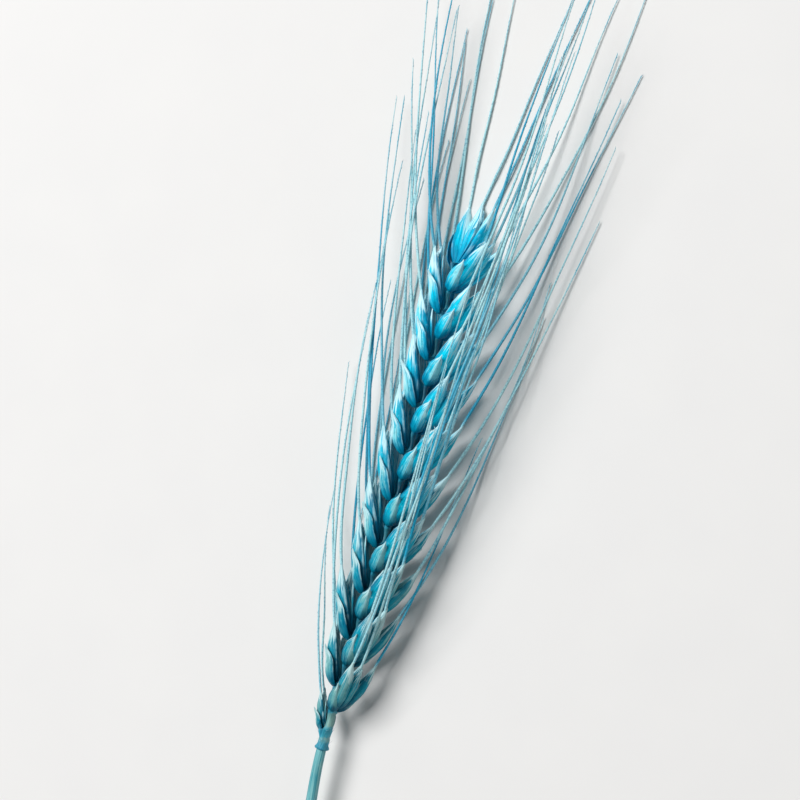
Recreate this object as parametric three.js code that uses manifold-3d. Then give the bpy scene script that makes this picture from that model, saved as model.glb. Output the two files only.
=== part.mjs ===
// A bearded ear of wheat on a cut length of its straw, dried, dyed and lying on a table.
// Units are millimetres. +Y runs from the straw's cut end to the tips of the awns, +Z is up from
// the table, and +X is to the right of someone who looks straight down at the ear. The finished
// group stands with its origin on the table, under the middle of the whole ear.

import * as THREE from "three";
import { mergeVertices } from "three/addons/utils/BufferGeometryUtils.js";
import Module from "manifold-3d";

const wasm = await Module();
wasm.setup();

// Driving dimensions of the ear
const SPIKELETS = 20; // seated left and right in turn, below the one at the tip
const FIRST_NODE = 2.6; // from the collar to the lowest spikelet's seat
const NODE_PITCH = 4.4; // from one seat to the next on the other side
const EAR_ROLL = 26; // degrees that the right row is turned up, off the table, at the foot
const EAR_TWIST = -13; // what the ear adds to that by its tip
const EAR_HEIGHT = 5.35; // the rachis above the table
const EAR_BOW = 1.1; // sideways bow of the rachis
const EAR_DROOP = 0.9; // how far the tip sinks towards the table

// Driving dimensions of the straw
const STRAW_LENGTH = 48;
const STRAW_TOP_RADIUS = 0.85;
const STRAW_CUT_RADIUS = 1.2;
const STRAW_VEER = 0.12; // sideways run for each millimetre down the straw
const STRAW_VEER_START = 8; // the length over which the straw turns aside
const STRAW_BORE_RADIUS = 0.65;
const STRAW_BORE_DEPTH = 7;
const STRAW_SIDES = 12;
const STRAW_STEPS = 10;

// The collar at the foot of the ear, with the socket that the straw's top stands in
const COLLAR_RADIUS = 1.35;
const COLLAR_FOOT = -0.9;
const COLLAR_HEAD = 1.4;
const SOCKET_GAP = 0.15; // clear all round the straw
const SOCKET_TOP = 0.45;

// The rachis, a flattened zigzag stalk that turns its broad sides to the two rows: each length of
// it widens up to a shelf that a spikelet sits on, and the next starts behind that shelf. Widths
// and thicknesses are halves.
const SHELF = { out: 0.3, wide: 1.1, thick: 0.6 };
const ABOVE_SHELF = { out: -0.4, wide: 0.6, thick: 0.45 };
const SHELF_STEP = 0.5;

// Awns, the long bristles that the lemmas end in
const AWN_ROOT_RADIUS = 0.4;
const AWN_TIP_RADIUS = 0.17;
const AWN_SIDES = 3;
const AWN_STEPS = 3;
const AWN_SUNK = 1.2; // of its root inside the lemma's tip
const AWN_LEAVING = { lean: 17, spread: 11 }; // outwards and towards its own face, in degrees
const AWN_ENDING = { lean: 5, spread: 5 };
const AWN_BEND = 0.35; // share of its length at which the one direction gives way to the other
const AWN_LENGTH_STRAYING = 0.1; // share either way
const AWN_SAG = 2.6; // of its tip, under its own weight
const AWN_STRAYING = 5; // degrees either way
const TABLE_CLEAR = 0.3; // the lowest line of an awn that lies along the table
const TABLE_SOFTNESS = 1.2; // how gradually such an awn comes down

// The scales of one spikelet. Offsets and angles run outwards from the rachis, towards the face
// side of the ear (1) or its back side (-1), and up the ear.
const SCALES = [
  { face: 1, out: 0.5, across: 0.6, up: -0.7, lean: 18, spread: 24, length: 9, wide: 1.7, thick: 1.45, turn: 40, bulge: 0.4 },
  { face: -1, out: 0.5, across: 0.6, up: -0.7, lean: 18, spread: 24, length: 9, wide: 1.7, thick: 1.45, turn: 40, bulge: 0.4 },
  { face: 1, out: 0.8, across: 0.25, up: -0.3, lean: 21, spread: 16, length: 13.5, wide: 1.8, thick: 1.7, turn: 47, bulge: 0.4, awn: 66 },
  { face: -1, out: 0.8, across: 0.25, up: -0.2, lean: 22, spread: 15, length: 13.7, wide: 1.9, thick: 1.8, turn: 45, bulge: 0.6, awn: 64 },
  { face: 1, out: 0.7, across: 0, up: -0.3, lean: 22, spread: 1, length: 13.6, wide: 1.9, thick: 1.7, turn: 75, bulge: 0.6, awn: 54 },
];

const SCALE_STRAYING = 3; // degrees either way
const SCALE_LENGTH_STRAYING = 0.05; // share either way
const TIP_SPIKELET_SIZE = 0.95;
const TIP_AWN_SIZE = 0.8; // for the awns of the spikelet at the tip
const RIGHT_SPLAY = 10; // degrees that the right row leans out further, reached a third of the way up
const LEFT_GATHER = 0.75; // share of its lean and spread that the left row keeps
const TIP_GATHER = 0.7; // share that the spikelet at the tip keeps

// Shares of a scale's length at its rings, with its width and thickness there
const SCALE_RINGS = [
  { at: 0.26, size: 0.96 },
  { at: 0.7, size: 0.72 },
];

const UP_EAR = new THREE.Vector3(0, 1, 0);
const EAR_TOP = FIRST_NODE + SPIKELETS * NODE_PITCH;

// A fixed scatter between -1 and 1, the same on every run
function scatter(seed) {
  const wave = Math.sin(seed * 12.9898 + 4.1414) * 43758.5453;
  return 2 * (wave - Math.floor(wave)) - 1;
}

// Directions at a height y in the ear: out along its rows, to the right, and out of its face
function acrossEar(y) {
  const roll = THREE.MathUtils.degToRad(EAR_ROLL + EAR_TWIST * THREE.MathUtils.clamp(y / EAR_TOP, 0, 1));
  return {
    alongRows: new THREE.Vector3(Math.cos(roll), 0, Math.sin(roll)),
    outOfFace: new THREE.Vector3(-Math.sin(roll), 0, Math.cos(roll)),
  };
}

// The middle line of straw and rachis, at a height y above the collar
function culmAt(y) {
  if (y >= 0) {
    const share = Math.min(y / EAR_TOP, 1);
    const bow = EAR_BOW * Math.sin(Math.PI * share ** 1.3);
    return new THREE.Vector3(bow, y, EAR_HEIGHT - EAR_DROOP * share ** 2);
  }
  const down = -y;
  const veer = STRAW_VEER * (down - STRAW_VEER_START * (1 - Math.exp(-down / STRAW_VEER_START)));
  const share = down / STRAW_LENGTH;
  const sink = share * share * (3 - 2 * share);
  const rest = STRAW_CUT_RADIUS * Math.cos(Math.PI / STRAW_SIDES);
  return new THREE.Vector3(veer, y, THREE.MathUtils.lerp(EAR_HEIGHT, rest, sink));
}

// A closed skin over rings of points, each anticlockwise seen from the end, with a point at each end
function loft(start, rings, end) {
  const sides = rings[0].length;
  const points = [start, ...rings.flat(), end];
  const lastRing = 1 + (rings.length - 1) * sides;
  const index = [];
  for (let k = 0; k < sides; k++) {
    const next = (k + 1) % sides;
    index.push(0, 1 + next, 1 + k);
    for (let first = 1; first < lastRing; first += sides) {
      index.push(first + k, first + next, first + sides + next);
      index.push(first + k, first + sides + next, first + sides + k);
    }
    index.push(points.length - 1, lastRing + k, lastRing + next);
  }
  return new THREE.BufferGeometry().setFromPoints(points).setIndex(index);
}

// Points round a centre, given as shares [along the normal, across it]
function ringAt(centre, tangent, normal, outline) {
  const back = normal.clone().projectOnPlane(tangent).normalize();
  const side = tangent.clone().cross(back);
  return outline.map(([n, b]) => centre.clone().addScaledVector(back, n).addScaledVector(side, b));
}

function roundOutline(radius, sides) {
  return Array.from({ length: sides }, (_, k) => {
    const angle = (2 * Math.PI * (k + 0.5)) / sides;
    return [radius * Math.cos(angle), radius * Math.sin(angle)];
  });
}

function boxOutline(wide, thick) {
  return [
    [wide, -thick],
    [wide, thick],
    [-wide, thick],
    [-wide, -thick],
  ];
}

// A keeled, boat-shaped section: a ridge at the back, two shoulders, thin edges and a flat inside
function scaleOutline(wide, thick) {
  return [
    [thick, 0],
    [0.62 * thick, 0.66 * wide],
    [-0.25 * thick, wide],
    [-0.25 * thick, -wide],
    [0.62 * thick, -0.66 * wide],
  ];
}

function solidOf(geometry) {
  const bare = new THREE.BufferGeometry();
  bare.setAttribute("position", geometry.getAttribute("position"));
  bare.setIndex(geometry.getIndex());
  const merged = mergeVertices(bare, 1e-4);
  return new wasm.Manifold(
    new wasm.Mesh({
      numProp: 3,
      vertProperties: merged.getAttribute("position").array,
      triVerts: new Uint32Array(merged.getIndex().array),
    }),
  );
}

function geometryOf(solid) {
  const { vertProperties, triVerts } = solid.getMesh();
  const geometry = new THREE.BufferGeometry();
  geometry.setAttribute("position", new THREE.BufferAttribute(vertProperties, 3));
  geometry.setIndex(new THREE.BufferAttribute(triVerts, 1));
  return geometry;
}

// Spikelets are smaller at the foot of the ear and towards its tip
function spikeletSize(number) {
  const fromTip = SPIKELETS - 1 - number;
  return 1 - 0.42 * Math.exp(-number / 1.3) - 0.12 * Math.exp(-fromTip / 2.6);
}

// One scale as a curve with its back's direction: where it sits, where its tip is and how it bows
function scaleLine(seat, outward, faceward, scale, { splay, gather }, size, seed) {
  const turn = THREE.MathUtils.degToRad(scale.turn);
  const length = scale.length * size * (1 + SCALE_LENGTH_STRAYING * scatter(seed + 0.6));
  const root = seat
    .clone()
    .addScaledVector(outward, scale.out * size)
    .addScaledVector(faceward, scale.across * scale.face * size)
    .addScaledVector(UP_EAR, scale.up * size);
  const course = courseOf(
    outward,
    faceward,
    scale.lean * gather + splay + SCALE_STRAYING * scatter(seed),
    scale.face * (scale.spread * gather + SCALE_STRAYING * scatter(seed + 0.3)),
  );
  const back = faceward
    .clone()
    .multiplyScalar(scale.face * Math.cos(turn))
    .addScaledVector(outward, Math.sin(turn))
    .projectOnPlane(course)
    .normalize();
  const pointAt = (share) =>
    root
      .clone()
      .addScaledVector(course, length * share)
      .addScaledVector(back, scale.bulge * size * 4 * share * (1 - share));
  const tangentAt = (share) =>
    course
      .clone()
      .multiplyScalar(length)
      .addScaledVector(back, scale.bulge * size * 4 * (1 - 2 * share))
      .normalize();
  return { pointAt, tangentAt, back, length };
}

function scaleSolid(line, scale, size) {
  const rings = SCALE_RINGS.map(({ at, size: share }) =>
    ringAt(
      line.pointAt(at),
      line.tangentAt(at),
      line.back,
      scaleOutline(scale.wide * size * share, scale.thick * size * share),
    ),
  );
  return solidOf(loft(line.pointAt(0), rings, line.pointAt(1)));
}

// An awn that would pass through the table is bent to lie along it
function liftOffTable(point, share) {
  const above = point.z - TABLE_CLEAR;
  const lifted = TABLE_CLEAR + (above + Math.hypot(above, TABLE_SOFTNESS)) / 2;
  point.z = THREE.MathUtils.lerp(point.z, lifted, Math.min(1, share * 5));
  return point;
}

function sag(point, share) {
  point.z -= AWN_SAG * share ** 2;
  return point;
}

// A direction that leans outwards and spreads towards a face, by angles in degrees
function courseOf(outward, faceward, lean, spread) {
  return UP_EAR.clone()
    .addScaledVector(outward, Math.tan(THREE.MathUtils.degToRad(lean)))
    .addScaledVector(faceward, Math.tan(THREE.MathUtils.degToRad(spread)))
    .normalize();
}

function awnSolid(line, outward, ownFace, length, seed) {
  const root = line.pointAt(1 - AWN_SUNK / line.length);
  const [leaving, ending] = [AWN_LEAVING, AWN_ENDING].map(({ lean, spread }, step) =>
    courseOf(
      outward,
      ownFace,
      lean + AWN_STRAYING * scatter(seed + 0.1 * step),
      spread + AWN_STRAYING * scatter(seed + 0.1 * step + 0.5),
    ),
  );
  const bend = root.clone().addScaledVector(leaving, AWN_BEND * length);
  const tip = bend.clone().addScaledVector(ending, (1 - AWN_BEND) * length);
  const path = new THREE.QuadraticBezierCurve3(root, bend, tip);
  const rings = Array.from({ length: AWN_STEPS }, (_, step) => {
    const share = step / AWN_STEPS;
    const radius = THREE.MathUtils.lerp(AWN_ROOT_RADIUS, AWN_TIP_RADIUS, share);
    const centre = liftOffTable(sag(path.getPoint(share), share), share);
    return ringAt(centre, path.getTangent(share), new THREE.Vector3(0, 0, 1), roundOutline(radius, AWN_SIDES));
  });
  return solidOf(loft(root, rings, liftOffTable(sag(path.getPoint(1), 1), 1)));
}

function spikeletSolids(number) {
  const atTip = number === SPIKELETS;
  const side = number % 2 === 0 ? -1 : 1;
  const seatHeight = FIRST_NODE + number * NODE_PITCH;
  const { alongRows, outOfFace } = acrossEar(seatHeight);
  const outward = atTip ? outOfFace.clone().negate() : alongRows.clone().multiplyScalar(side);
  const faceward = atTip ? alongRows : outOfFace;
  const size = atTip ? TIP_SPIKELET_SIZE : spikeletSize(number);
  const awnSize = atTip ? TIP_AWN_SIZE : size;
  const splay = side > 0 && !atTip ? RIGHT_SPLAY * Math.min(1, (3 * number) / SPIKELETS) : 0;
  const rowGather = side < 0 ? LEFT_GATHER : 1;
  const gather = atTip ? TIP_GATHER : rowGather;
  const seat = culmAt(seatHeight);
  const solids = [];
  SCALES.forEach((scale, order) => {
    const seed = number * SCALES.length + order + 1;
    const line = scaleLine(seat, outward, faceward, scale, { splay, gather }, size, seed);
    solids.push(scaleSolid(line, scale, size));
    if (scale.awn) {
      const ownFace = faceward.clone().multiplyScalar(scale.face);
      const length = scale.awn * awnSize * (1 + AWN_LENGTH_STRAYING * scatter(seed + 0.8));
      solids.push(awnSolid(line, outward, ownFace, length, seed + 0.9));
    }
  });
  return solids;
}

function rachisSolid() {
  const rings = [];
  for (let number = 0; number <= SPIKELETS; number++) {
    const side = number % 2 === 0 ? -1 : 1;
    const node = culmAt(FIRST_NODE + number * NODE_PITCH);
    const { alongRows, outOfFace } = acrossEar(node.y);
    [SHELF, ABOVE_SHELF].forEach(({ out, wide, thick }, step) => {
      const centre = node
        .clone()
        .addScaledVector(alongRows, side * out)
        .addScaledVector(UP_EAR, step * SHELF_STEP);
      rings.push(ringAt(centre, UP_EAR, outOfFace, boxOutline(wide, thick)));
    });
  }
  return solidOf(loft(culmAt(0), rings, culmAt(EAR_TOP + 1)));
}

function collarSolid() {
  const socket = STRAW_TOP_RADIUS + SOCKET_GAP;
  const profile = [
    [0, SOCKET_TOP],
    [socket, SOCKET_TOP],
    [socket, COLLAR_FOOT],
    [socket + 0.15, COLLAR_FOOT],
    [COLLAR_RADIUS, COLLAR_FOOT + 0.5],
    [COLLAR_RADIUS - 0.1, COLLAR_FOOT + 1.1],
    [0.7, COLLAR_HEAD],
    [0, COLLAR_HEAD],
  ].map(([radius, height]) => new THREE.Vector2(radius, height));
  const collar = new THREE.LatheGeometry(profile, STRAW_SIDES);
  const at = culmAt(0);
  return solidOf(collar.translate(at.x, 0, at.z));
}

// Everything stays above the table, so the scales that touch it are flat there
function tableBlock() {
  const depth = 20;
  return solidOf(new THREE.BoxGeometry(400, 600, depth).translate(0, 0, -depth / 2));
}

function earGeometry() {
  const solids = [rachisSolid(), collarSolid()];
  for (let number = 0; number <= SPIKELETS; number++) {
    solids.push(...spikeletSolids(number));
  }
  return geometryOf(wasm.Manifold.union(solids).subtract(tableBlock()));
}

function strawGeometry() {
  const top = 0.2;
  const rings = Array.from({ length: STRAW_STEPS + 1 }, (_, step) => {
    const share = step / STRAW_STEPS;
    const y = THREE.MathUtils.lerp(-STRAW_LENGTH, top, share);
    const radius = THREE.MathUtils.lerp(STRAW_CUT_RADIUS, STRAW_TOP_RADIUS, share ** 0.6);
    const tangent = culmAt(y + 0.5).sub(culmAt(y - 0.5)).normalize();
    const centre = culmAt(Math.min(y, 0));
    centre.y = y;
    return ringAt(centre, tangent, new THREE.Vector3(0, 0, 1), roundOutline(radius, STRAW_SIDES));
  });
  const cut = culmAt(-STRAW_LENGTH);
  const straw = solidOf(loft(cut, rings, culmAt(0).setY(top)));
  const bore = new THREE.CylinderGeometry(STRAW_BORE_RADIUS, STRAW_BORE_RADIUS, 2 * STRAW_BORE_DEPTH, STRAW_SIDES);
  bore.rotateZ(Math.atan(STRAW_VEER)).translate(cut.x, cut.y, cut.z);
  return geometryOf(straw.subtract(solidOf(bore)).subtract(tableBlock()));
}

const chaff = new THREE.MeshStandardMaterial({ color: 0x2f9bb4, roughness: 0.6, metalness: 0 });
const strawFinish = new THREE.MeshStandardMaterial({ color: 0x6fb0b3, roughness: 0.5, metalness: 0 });

const ear = new THREE.Mesh(earGeometry(), chaff);
ear.name = "ear";
const straw = new THREE.Mesh(strawGeometry(), strawFinish);
straw.name = "straw";

const wheatEar = new THREE.Group();
wheatEar.add(ear, straw);
const middle = new THREE.Box3().setFromObject(wheatEar).getCenter(new THREE.Vector3());
wheatEar.position.set(-middle.x, -middle.y, 0);

export default wheatEar;
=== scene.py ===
import math

import bmesh
import bpy
from mathutils import Matrix, Vector


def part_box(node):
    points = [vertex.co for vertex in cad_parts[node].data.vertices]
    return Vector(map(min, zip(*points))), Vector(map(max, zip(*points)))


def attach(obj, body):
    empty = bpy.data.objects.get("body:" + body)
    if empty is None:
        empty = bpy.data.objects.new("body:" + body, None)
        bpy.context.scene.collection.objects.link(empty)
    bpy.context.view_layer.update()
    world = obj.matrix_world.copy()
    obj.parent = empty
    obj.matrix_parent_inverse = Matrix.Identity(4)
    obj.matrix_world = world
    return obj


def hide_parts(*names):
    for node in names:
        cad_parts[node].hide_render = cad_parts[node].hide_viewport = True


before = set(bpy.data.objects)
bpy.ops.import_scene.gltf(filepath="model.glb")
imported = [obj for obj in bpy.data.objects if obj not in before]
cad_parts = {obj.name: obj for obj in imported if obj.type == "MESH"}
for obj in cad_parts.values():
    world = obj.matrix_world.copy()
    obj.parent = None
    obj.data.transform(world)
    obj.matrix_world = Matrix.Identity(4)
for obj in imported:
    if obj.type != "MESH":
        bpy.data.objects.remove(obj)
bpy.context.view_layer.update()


# The straw is the cut end of the hollow stem that the ear grew on, dried and dyed. It is one
# smooth tube with fine ribs along it, it comes down from the ear to the table, and its top
# stands in the ear's collar.
MM = 0.001
STRAW_LENGTH = 48
STRAW_TOP = 0.2  # above the collar's middle
STRAW_STEPS = 60
STRAW_SIDES = 12  # of its solid in the frame
STRAW_EDGE = 0.821  # from the solid's left edge to the middle of the collar
STRAW_TOP_RADIUS = 0.85
STRAW_CUT_RADIUS = 1.2
STRAW_VEER = 0.12  # mm to the right for each mm down
STRAW_VEER_START = 8  # how far down it takes for that to set in
EAR_HEIGHT = 5.35  # of the collar's middle above the table
EAR_BOW = 1.1
EAR_DROOP = 0.9
EAR_TOP = 90.6  # from the collar to the tip spikelet's seat
COLLAR_FOOT = 0.9  # below the collar's middle

# The middle of the collar in the frame, from the solids of the straw and the ear
ear_foot = Vector((
    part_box("straw")[0].x / MM + STRAW_EDGE,
    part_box("ear")[0].y / MM + COLLAR_FOOT,
    0,
))


def culm_at(y):
    """The middle of the straw or of the stalk in the ear, in mm, at a height above the collar."""
    if y >= 0:
        share = min(y / EAR_TOP, 1)
        bow = EAR_BOW * math.sin(math.pi * share ** 1.3)
        return Vector((bow, y, EAR_HEIGHT - EAR_DROOP * share ** 2))
    down = -y
    run = down - STRAW_VEER_START * (1 - math.exp(-down / STRAW_VEER_START))
    share = down / STRAW_LENGTH
    sink = share * share * (3 - 2 * share)
    rest = STRAW_CUT_RADIUS * math.cos(math.pi / STRAW_SIDES)
    return Vector((STRAW_VEER * run, y, EAR_HEIGHT + (rest - EAR_HEIGHT) * sink))


class Reading:
    """A number or a direction inside a node tree, which plain sums can be written with."""

    def __init__(self, bench, socket):
        self.bench = bench
        self.socket = socket

    def __add__(self, other):
        return self.bench.work("ADD", self, other)

    def __radd__(self, other):
        return self.bench.work("ADD", other, self)

    def __sub__(self, other):
        return self.bench.work("SUBTRACT", self, other)

    def __rsub__(self, other):
        return self.bench.work("SUBTRACT", other, self)

    def __mul__(self, other):
        return self.bench.work("MULTIPLY", self, other)

    def __pow__(self, other):
        return self.bench.work("POWER", self, other)

    def __abs__(self):
        return self.bench.work("ABSOLUTE", self)


class Bench:
    """A node tree under construction."""

    def __init__(self, tree):
        self.tree = tree

    def feed(self, socket, value):
        value = value.socket if isinstance(value, Reading) else value
        if isinstance(value, bpy.types.NodeSocket):
            self.tree.links.new(value, socket)
        else:
            socket.default_value = value

    def add(self, kind, settings=None, **feeds):
        node = self.tree.nodes.new(kind)
        for setting, value in (settings or {}).items():
            setattr(node, setting, value)
        for name, value in feeds.items():
            self.feed(node.inputs[name.replace("_", " ")], value)
        return node

    def out(self, node, name=0):
        return Reading(self, node.outputs[name])

    def work(self, operation, *terms):
        """A sum of numbers or of directions, or a direction times a number."""
        vectors = [isinstance(t, Reading) and t.socket.type == "VECTOR" for t in terms]
        if not any(vectors):
            node = self.add("ShaderNodeMath", {"operation": operation})
        elif operation == "MULTIPLY" and not all(vectors):
            direction, share = terms if vectors[0] else terms[::-1]
            node = self.add("ShaderNodeVectorMath", {"operation": "SCALE"}, Scale=share)
            terms = [direction]
        else:
            node = self.add("ShaderNodeVectorMath", {"operation": operation})
        for socket, term in zip(node.inputs, terms):
            self.feed(socket, term)
        return self.out(node)

    def rise(self, value, start, end):
        """A smooth step from 0 to 1 while value goes from start to end."""
        node = self.add(
            "ShaderNodeMapRange",
            {"interpolation_type": "SMOOTHSTEP"},
            Value=value,
            From_Min=start,
            From_Max=end,
        )
        return self.out(node)

    def outline(self, value, points, smooth=True):
        """What a drawn curve through the points gives for the value."""
        node = self.add("ShaderNodeFloatCurve", Value=value)
        curve = node.mapping.curves[0]
        while len(curve.points) < len(points):
            curve.points.new(0.5, 0.5)
        for point, place in zip(curve.points, points):
            point.location = place
            point.handle_type = "AUTO" if smooth else "VECTOR"
        node.mapping.update()
        return self.out(node)

    def place_in(self, x, y, z):
        return self.out(self.add("ShaderNodeCombineXYZ", X=x, Y=y, Z=z))

    def mottle(self, vector, detail=2.0, scale=1.0):
        node = self.add("ShaderNodeTexNoise", Vector=vector, Scale=scale, Detail=detail)
        return self.out(node)


class Growth(Bench):
    """A Geometry Nodes tree for a piece that grows by a rule, with its sizes as named inputs."""

    def __init__(self, name, **sizes):
        super().__init__(bpy.data.node_groups.new(name, "GeometryNodeTree"))
        face = self.tree.interface
        face.new_socket("Geometry", in_out="OUTPUT", socket_type="NodeSocketGeometry")
        face.new_socket("Geometry", in_out="INPUT", socket_type="NodeSocketGeometry")
        self.sizes = {}
        for size, value in sizes.items():
            kind = "NodeSocketInt" if isinstance(value, int) else "NodeSocketFloat"
            socket = face.new_socket(size, in_out="INPUT", socket_type=kind)
            self.sizes[socket.identifier] = value
        self.inlet = self.add("NodeGroupInput")
        self.seeds = self.inlet.outputs["Geometry"]

    def size(self, name):
        return self.out(self.inlet, name)

    def read(self, name, kind="FLOAT"):
        node = self.add("GeometryNodeInputNamedAttribute", {"data_type": kind}, Name=name)
        return self.out(node, "Attribute")

    def note(self, geometry, name, value):
        node = self.add(
            "GeometryNodeStoreNamedAttribute",
            {"data_type": "FLOAT", "domain": "POINT"},
            Geometry=geometry,
            Name=name,
            Value=value,
        )
        return node.outputs[0]

    def sheet(self, around, along):
        """A flat sheet of vertices, each with its share of the way around and along."""
        grid = self.add("GeometryNodeMeshGrid", Vertices_X=around, Vertices_Y=along)
        flat = self.add("GeometryNodeInputPosition").outputs[0]
        place = self.add("ShaderNodeSeparateXYZ", Vector=flat)
        sheet = self.note(grid.outputs["Mesh"], "round", self.out(place, "X") + 0.5)
        return self.note(sheet, "along", self.out(place, "Y") + 0.5)

    def shape(self, sheet, place):
        """The sheet with each vertex put in its place, and its seam and ends closed."""
        shaped = self.add("GeometryNodeSetPosition", Geometry=sheet, Position=place)
        closed = self.add(
            "GeometryNodeMergeByDistance",
            Geometry=shaped.outputs[0],
            Distance=0.002 * MM,
        )
        return closed.outputs[0]

    def end(self, geometry, finish):
        """Lays what would pass through the table on it, and gives the whole its finish."""
        smooth = self.add("GeometryNodeSetShadeSmooth", Geometry=geometry)
        whole = self.add("GeometryNodeRealizeInstances", Geometry=smooth.outputs[0])
        flat = self.add("GeometryNodeInputPosition").outputs[0]
        place = self.add("ShaderNodeSeparateXYZ", Vector=flat)
        above = self.work("MAXIMUM", self.out(place, "Z"), 0.01 * MM)
        laid = self.add("GeometryNodeSetPosition", Geometry=whole.outputs[0])
        on_table = self.place_in(self.out(place, "X"), self.out(place, "Y"), above)
        self.feed(laid.inputs["Position"], on_table)
        finished = self.add("GeometryNodeSetMaterial", Geometry=laid.outputs[0], Material=finish)
        self.add("NodeGroupOutput", Geometry=finished.outputs[0])

    def grow(self, piece):
        """Runs the tree on the piece, which keeps the result as its plain mesh."""
        step = piece.modifiers.new("growth", "NODES")
        step.node_group = self.tree
        for identifier, value in self.sizes.items():
            step[identifier] = value
        graph = bpy.context.evaluated_depsgraph_get()
        grown = bpy.data.meshes.new_from_object(
            piece.evaluated_get(graph),
            preserve_all_data_layers=True,
            depsgraph=graph,
        )
        piece.modifiers.remove(step)
        piece.data = grown
        shell = bmesh.new()
        shell.from_mesh(grown)
        if shell.calc_volume(signed=True) < 0:
            grown.flip_normals()
        shell.free()


def set_out(name, points, edges=(), **readings):
    """Loose points in the frame, with what the rule gives each one, for a tree to grow on."""
    mesh = bpy.data.meshes.new(name)
    mesh.from_pydata([(p + ear_foot) * MM for p in points], edges, [])
    for reading, values in readings.items():
        if isinstance(values[0], Vector):
            layer = mesh.attributes.new(reading, "FLOAT_VECTOR", "POINT")
            layer.data.foreach_set("vector", [c for v in values for c in v])
        else:
            layer = mesh.attributes.new(reading, "FLOAT", "POINT")
            layer.data.foreach_set("value", values)
    piece = bpy.data.objects.new(name, mesh)
    bpy.context.scene.collection.objects.link(piece)
    return piece


def dye(red, green, blue):
    """A colour as the eye reads it, in light values."""
    shares = [c / 255 for c in (red, green, blue)]
    return [((c + 0.055) / 1.055) ** 2.4 if c > 0.04045 else c / 12.92 for c in shares] + [1]


def shade_between(bench, share, first, second):
    node = bench.add("ShaderNodeMix", {"data_type": "RGBA"})
    bench.feed(node.inputs[0], share)
    bench.feed(node.inputs[6], first)
    bench.feed(node.inputs[7], second)
    return Reading(bench, node.outputs[2])


def new_finish(name):
    """An empty finish: its bench, its surface, and the place on the piece."""
    finish = bpy.data.materials.new(name)
    finish.use_nodes = True
    bench = Bench(finish.node_tree)
    surface = finish.node_tree.nodes["Principled BSDF"]
    place = bench.out(bench.add("ShaderNodeTexCoord"), "Object")
    return finish, bench, surface, place


def look_up(bench, name):
    return bench.out(bench.add("ShaderNodeAttribute", {"attribute_name": name}), "Fac")


def new_effect(name, takes, gives):
    """An empty shader group: its bench, what it takes, and its outlet."""
    tree = bpy.data.node_groups.new(name, "ShaderNodeTree")
    kinds = {"Place": "NodeSocketVector", "Colour": "NodeSocketColor"}
    for names, way in ((takes, "INPUT"), (gives, "OUTPUT")):
        for socket in names:
            kind = kinds.get(socket, "NodeSocketFloat")
            tree.interface.new_socket(socket, in_out=way, socket_type=kind)
    bench = Bench(tree)
    inlet = bench.add("NodeGroupInput")
    return bench, [bench.out(inlet, socket) for socket in takes], bench.add("NodeGroupOutput")


# How dye runs along dry plant fibre: its depth, and the fine ridges of the fibre
bench, taken, outlet = new_effect(
    "dye streaks", ("Round", "Along", "Seed", "Fineness"), ("Depth", "Fibre")
)
around, along, seed, fineness = taken
coarse = bench.mottle(bench.place_in(around * fineness, along * 3, seed * 31), 3)
fine = bench.mottle(bench.place_in(around * fineness * 4, along * 4, seed * 17 + 5), 2)
bench.feed(outlet.inputs["Depth"], bench.rise(coarse * 0.6 + fine * 0.4, 0.38, 0.62))
bench.feed(outlet.inputs["Fibre"], fine)
dye_streaks = bench.tree


def run_of_dye(bench, around, along, seed, fineness):
    streaks = bench.add(
        "ShaderNodeGroup",
        {"node_tree": dye_streaks},
        Round=around,
        Along=along,
        Seed=seed,
        Fineness=fineness,
    )
    return bench.out(streaks, "Depth"), bench.out(streaks, "Fibre")


def dress(bench, surface, colour, gloss, relief, depth):
    """Colour, roughness and raised fibres of a surface."""
    bench.feed(surface.inputs["Base Color"], colour)
    bench.feed(surface.inputs["Roughness"], gloss)
    ridges = bench.add("ShaderNodeBump", Height=relief, Distance=depth * MM, Strength=0.8)
    bench.feed(surface.inputs["Normal"], ridges.outputs[0])


straw_finish, bench, surface, place = new_finish("dyed straw")
depth, fibre = run_of_dye(bench, look_up(bench, "round"), look_up(bench, "along") * 2, 0.3, 16.0)
# Pale worn patches on the straw
worn = bench.rise(bench.mottle(place, 3, 160.0), 0.5, 0.75)
body = shade_between(bench, depth, dye(30, 138, 154), dye(126, 190, 192))
body = shade_between(bench, worn, body, dye(158, 190, 178))
dress(bench, surface, body, depth * 0.12 + 0.38, fibre, 0.1)

straw_run = STRAW_LENGTH + STRAW_TOP
straw_path = [
    culm_at(STRAW_TOP - straw_run * step / STRAW_STEPS) for step in range(STRAW_STEPS + 1)
]
straw_stem = set_out("straw_stem", straw_path, [(k, k + 1) for k in range(STRAW_STEPS)])
tube = Growth(
    "straw tube",
    Around=61,
    Along=220,
    Top=STRAW_TOP_RADIUS * MM,
    Cut=STRAW_CUT_RADIUS * MM,
    Ribs=20.0,
    Rib=0.02,
)
along = tube.read("along")
around = tube.read("round")
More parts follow.
